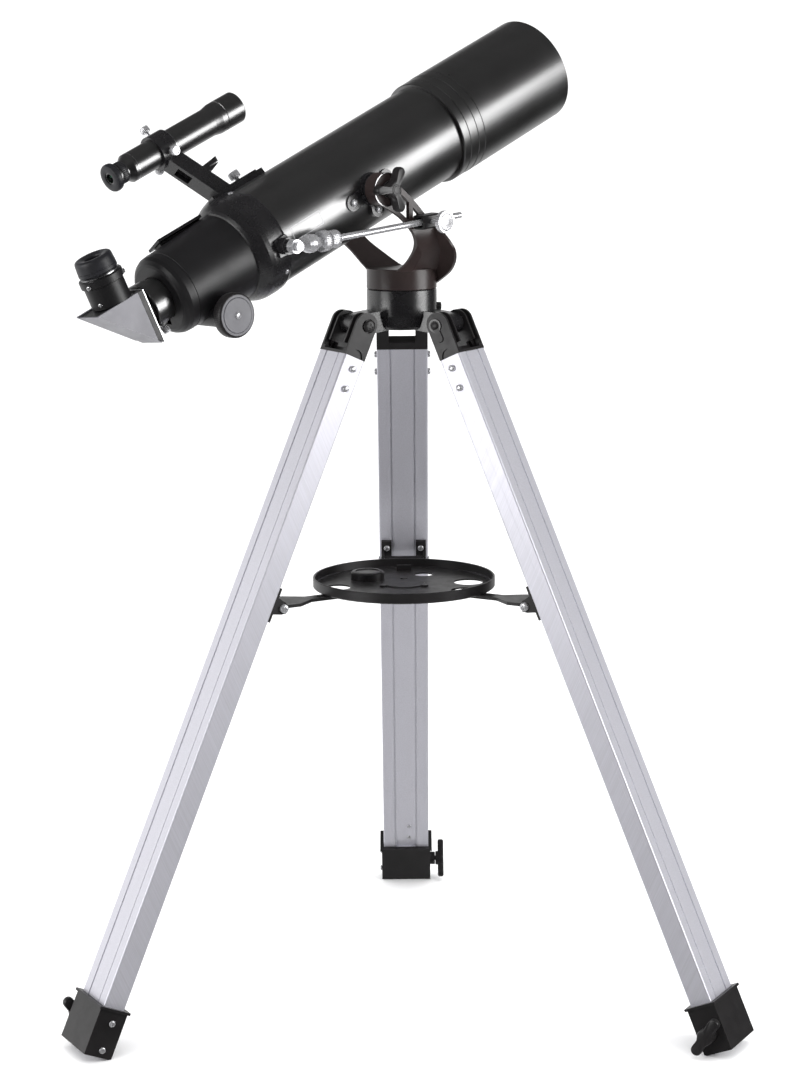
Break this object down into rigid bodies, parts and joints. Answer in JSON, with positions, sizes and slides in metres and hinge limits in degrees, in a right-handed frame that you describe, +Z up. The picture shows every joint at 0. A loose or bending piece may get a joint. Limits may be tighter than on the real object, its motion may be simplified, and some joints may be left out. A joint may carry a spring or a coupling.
{
  "type": "refractor telescope on alt-azimuth fork mount and tripod",
  "caption": "Alt-azimuth fork mount carrying a short refractor tube with finder, diagonal and slow-motion rod, on a folding aluminium tripod with an accessory tray.",
  "frame": {"origin": "centre of the overall footprint, on the ground", "axes": "+Z up, +X to the right as the tripod's single back leg points away along +Y"},
  "size_m": [0.7306, 0.6918, 1.0596],
  "materials": {
    "gloss_black_paint": "satin gloss black paint, fine orange peel",
    "satin_black_cast": "satin black over a casting",
    "fork_paint": "satin brown-black paint",
    "grained_black_plastic": "finely grained matte black",
    "black_plastic": "satin moulded black",
    "anodised_aluminium": "silver anodised, drawn lengthwise",
    "chrome_hardware": "bright plated",
    "steel_hardware": "plain steel",
    "knob_grey": "satin grey cap on a black wheel",
    "grey_panel": "satin light grey",
    "coated_glass": "coated glass",
    "eyepiece_black": "satin black",
    "eyecup_rubber": "black rubber"
  },
  "bodies": {
    "tripod_head": {"head_hub": "satin_black_cast", "leg_pivot_bolts": "satin_black_cast"},
    "azimuth_lock": {"azimuth_lock_screw": "black_plastic"},
    "leg_left": {"leg_bracket_left": "black_plastic", "leg_upper_left": "anodised_aluminium", "foot_clamp_left": "black_plastic", "leg_screws_left": "chrome_hardware", "tray_bracket_left": "black_plastic"},
    "slider_left": {"leg_slider_left": "anodised_aluminium"},
    "foot_screw_left": {"foot_knob_left": "black_plastic"},
    "brace_left": {"tray_brace_left": "black_plastic"},
    "leg_right": {"leg_bracket_right": "black_plastic", "leg_upper_right": "anodised_aluminium", "foot_clamp_right": "black_plastic", "leg_screws_right": "chrome_hardware", "tray_bracket_right": "black_plastic"},
    "slider_right": {"leg_slider_right": "anodised_aluminium"},
    "foot_screw_right": {"foot_knob_right": "black_plastic"},
    "brace_right": {"tray_brace_right": "black_plastic"},
    "leg_back": {"leg_bracket_back": "black_plastic", "leg_upper_back": "anodised_aluminium", "foot_clamp_back": "black_plastic", "leg_screws_back": "chrome_hardware", "tray_bracket_back": "black_plastic"},
    "slider_back": {"leg_slider_back": "anodised_aluminium"},
    "foot_screw_back": {"foot_knob_back": "black_plastic"},
    "brace_back": {"tray_brace_back": "black_plastic"},
    "tray": {"accessory_tray": "black_plastic", "eyepiece_cap": "black_plastic"},
    "fork": {"fork_yoke": "fork_paint", "azimuth_spindle": "steel_hardware", "azimuth_nut": "steel_hardware", "rod_clamp_pin": "steel_hardware"},
    "tube": {"main_tube": "gloss_black_paint", "lens_cell": "gloss_black_paint", "objective_lens": "coated_glass", "dew_shield": "gloss_black_paint", "rear_ring": "satin_black_cast", "altitude_trunnions": "satin_black_cast", "tube_screws": "chrome_hardware", "rod_lug": "satin_black_cast", "focuser_body": "grained_black_plastic", "finder_bracket": "satin_black_cast", "finder_tube": "gloss_black_paint", "finder_eyepiece": "gloss_black_paint", "finder_lenses": "coated_glass"},
    "swivel": {"rod_clamp": "black_plastic"},
    "swivel_screw": {"rod_lock_screw": "chrome_hardware"},
    "rod": {"adjuster_rod": "chrome_hardware"},
    "rod_nut": {"adjuster_nut": "chrome_hardware"},
    "knob_near": {"altitude_knob_near": "black_plastic"},
    "knob_far": {"altitude_knob_far": "black_plastic"},
    "drawtube": {"focuser_drawtube": "gloss_black_paint"},
    "focus_spindle": {"focus_shaft": "steel_hardware", "focus_knobs": "knob_grey"},
    "diagonal": {"diagonal_housing": "grained_black_plastic", "diagonal_cover": "grey_panel", "diagonal_set_screws": "chrome_hardware"},
    "ocular": {"eyepiece": "eyepiece_black", "eyecup": "eyecup_rubber"}
  },
  "joints": [
    {"name": "azimuth_lock_turn", "type": "hinge", "parent": "tripod_head", "child": "azimuth_lock", "pos_m": [0.03991, -0.04913, 0.76], "axis": [0.9781, 0.2079, 0], "continuous": true},
    {"name": "leg_fold_left", "type": "hinge", "parent": "tripod_head", "child": "leg_left", "pos_m": [-0.04797, -0.08559, 0.7445], "axis": [0.5, -0.866, 0], "range_deg": [0, 10]},
    {"name": "leg_extend_left", "type": "slide", "parent": "leg_left", "child": "slider_left", "axis": [-0.3527, -0.2036, -0.9133], "range_m": [0, 0.38]},
    {"name": "foot_knob_turn_left", "type": "hinge", "parent": "leg_left", "child": "foot_screw_left", "pos_m": [-0.32781, -0.24716, 0.02579], "axis": [0.5, -0.866, 0], "continuous": true},
    {"name": "brace_fold_left", "type": "hinge", "parent": "leg_left", "child": "brace_left", "pos_m": [-0.1384, -0.1378, 0.45383], "axis": [0.5, -0.866, 0], "range_deg": [-60.3, 0]},
    {"name": "leg_fold_right", "type": "hinge", "parent": "tripod_head", "child": "leg_right", "pos_m": [0.04954, -0.08559, 0.7445], "axis": [0.5, 0.866, 0], "range_deg": [0, 10]},
    {"name": "leg_extend_right", "type": "slide", "parent": "leg_right", "child": "slider_right", "axis": [0.3527, -0.2036, -0.9133], "range_m": [0, 0.38]},
    {"name": "foot_knob_turn_right", "type": "hinge", "parent": "leg_right", "child": "foot_screw_right", "pos_m": [0.32937, -0.24716, 0.02579], "axis": [0.5, 0.866, 0], "continuous": true},
    {"name": "brace_fold_right", "type": "hinge", "parent": "leg_right", "child": "brace_right", "pos_m": [0.13997, -0.1378, 0.45383], "axis": [0.5, 0.866, 0], "range_deg": [-60.3, 0]},
    {"name": "leg_fold_back", "type": "hinge", "parent": "tripod_head", "child": "leg_back", "pos_m": [0.00078, -0.00114, 0.7445], "axis": [-1, 0, 0], "range_deg": [0, 10]},
    {"name": "leg_extend_back", "type": "slide", "parent": "leg_back", "child": "slider_back", "axis": [0, 0.4072, -0.9133], "range_m": [0, 0.38]},
    {"name": "foot_knob_turn_back", "type": "hinge", "parent": "leg_back", "child": "foot_screw_back", "pos_m": [0.00078, 0.32198, 0.02579], "axis": [-1, 0, 0], "continuous": true},
    {"name": "brace_fold_back", "type": "hinge", "parent": "leg_back", "child": "brace_back", "pos_m": [0.00078, 0.10327, 0.45383], "axis": [-1, 0, 0], "range_deg": [-60.3, 0]},
    {"name": "tray_lift", "type": "slide", "parent": "tripod_head", "child": "tray", "axis": [0, 0, 1], "range_m": [0, 0.05]},
    {"name": "azimuth", "type": "hinge", "parent": "tripod_head", "child": "fork", "pos_m": [0.00078, -0.05744, 0.789], "axis": [0, 0, 1], "continuous": true},
    {"name": "altitude", "type": "hinge", "parent": "fork", "child": "tube", "pos_m": [-0.06374, -0.11663, 0.88908], "axis": [0.676, -0.7369, 0], "range_deg": [-15, 35]},
    {"name": "rod_swivel", "type": "hinge", "parent": "fork", "child": "swivel", "pos_m": [0.02836, -0.13189, 0.8548], "axis": [0.676, -0.7369, 0], "range_deg": [-10.9, 25.3]},
    {"name": "rod_lock_turn", "type": "hinge", "parent": "swivel", "child": "swivel_screw", "pos_m": [0.03951, -0.14405, 0.8548], "axis": [0.676, -0.7369, 0], "continuous": true},
    {"name": "rod_pivot", "type": "hinge", "parent": "tube", "child": "rod", "pos_m": [-0.10429, -0.25356, 0.838], "axis": [0.676, -0.7369, 0], "range_deg": [-9.8, 4.2]},
    {"name": "adjuster_nut_turn", "type": "hinge", "parent": "rod", "child": "rod_nut", "pos_m": [-0.0676, -0.21991, 0.84265], "axis": [0.7337, 0.6731, 0.0929], "continuous": true},
    {"name": "altitude_knob_near_turn", "type": "hinge", "parent": "tube", "child": "knob_near", "pos_m": [-0.00764, -0.1778, 0.88908], "axis": [0.676, -0.7369, 0], "continuous": true},
    {"name": "altitude_knob_far_turn", "type": "hinge", "parent": "tube", "child": "knob_far", "pos_m": [-0.11985, -0.05547, 0.88908], "axis": [-0.676, 0.7369, 0], "continuous": true},
    {"name": "focus_travel", "type": "slide", "parent": "tube", "child": "drawtube", "axis": [-0.6785, -0.6224, -0.3901], "range_m": [0, 0.05]},
    {"name": "focus_knob_turn", "type": "hinge", "parent": "tube", "child": "focus_spindle", "pos_m": [-0.19971, -0.24136, 0.77344], "axis": [0.676, -0.7369, 0], "range_deg": [0, 410]},
    {"name": "diagonal_turn", "type": "hinge", "parent": "drawtube", "child": "diagonal", "pos_m": [-0.25373, -0.29091, 0.77985], "axis": [-0.6785, -0.6224, -0.3901], "continuous": true},
    {"name": "eyepiece_pull", "type": "slide", "parent": "diagonal", "child": "ocular", "axis": [-0.3453, -0.1985, 0.9173], "range_m": [0, 0.025]}
  ],
  "couplings": [
    {"joint": "brace_fold_left", "follows": "leg_fold_left", "ratio": -6.03},
    {"joint": "leg_fold_right", "follows": "leg_fold_left", "ratio": 1},
    {"joint": "brace_fold_right", "follows": "leg_fold_left", "ratio": -6.03},
    {"joint": "leg_fold_back", "follows": "leg_fold_left", "ratio": 1},
    {"joint": "brace_fold_back", "follows": "leg_fold_left", "ratio": -6.03},
    {"joint": "tray_lift", "follows": "leg_fold_left", "m_per_rad": 0.28648},
    {"joint": "rod_swivel", "follows": "altitude", "ratio": 0.722},
    {"joint": "rod_pivot", "follows": "altitude", "ratio": -0.278},
    {"joint": "focus_knob_turn", "follows": "focus_travel", "rad_per_m": 142.86}
  ]
}
